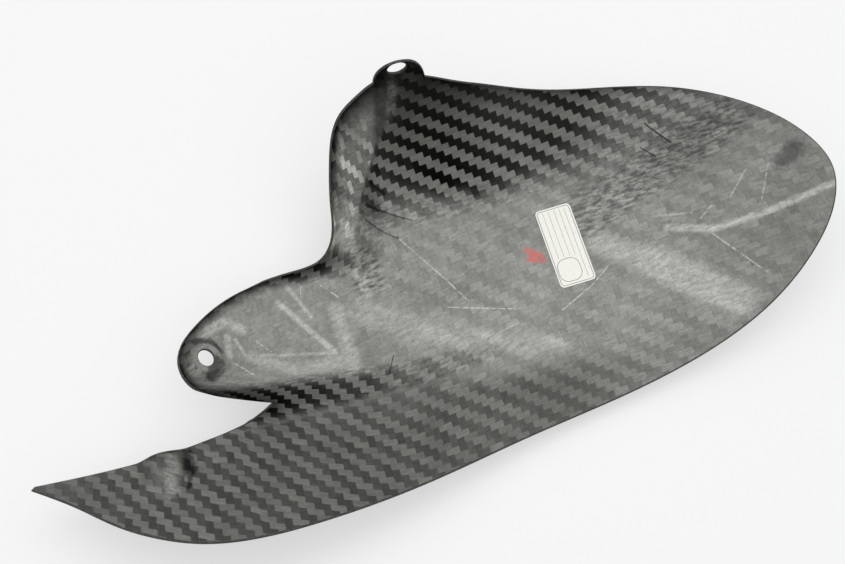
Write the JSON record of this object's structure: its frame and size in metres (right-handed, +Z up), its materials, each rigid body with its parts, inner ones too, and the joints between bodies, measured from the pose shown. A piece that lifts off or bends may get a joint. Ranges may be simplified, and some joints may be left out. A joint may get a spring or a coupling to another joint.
{
  "type": "motorcycle rear hugger mudguard",
  "caption": "Moulded carbon laminate rear hugger with a tyre arch, a steep side wall with a fixing tab, a front lobe with a raised bolt seat and a long chain-side arm.",
  "frame": {"origin": "under the middle of the bounding box, on the table that the part lies on", "axes": "+X to the rear along the wheel's centre line, +Y across to the plain side with the tab, +Z up out of the hollow that faces the tyre"},
  "size_m": [0.4427, 0.2068, 0.0926],
  "materials": {
    "carbon_laminate": "twill carbon cloth in clear resin, bag side up, scuffed",
    "label_film": "white printed film, blank"
  },
  "bodies": {
    "root": {"shell": "carbon_laminate", "label": "label_film"}
  },
  "joints": []
}
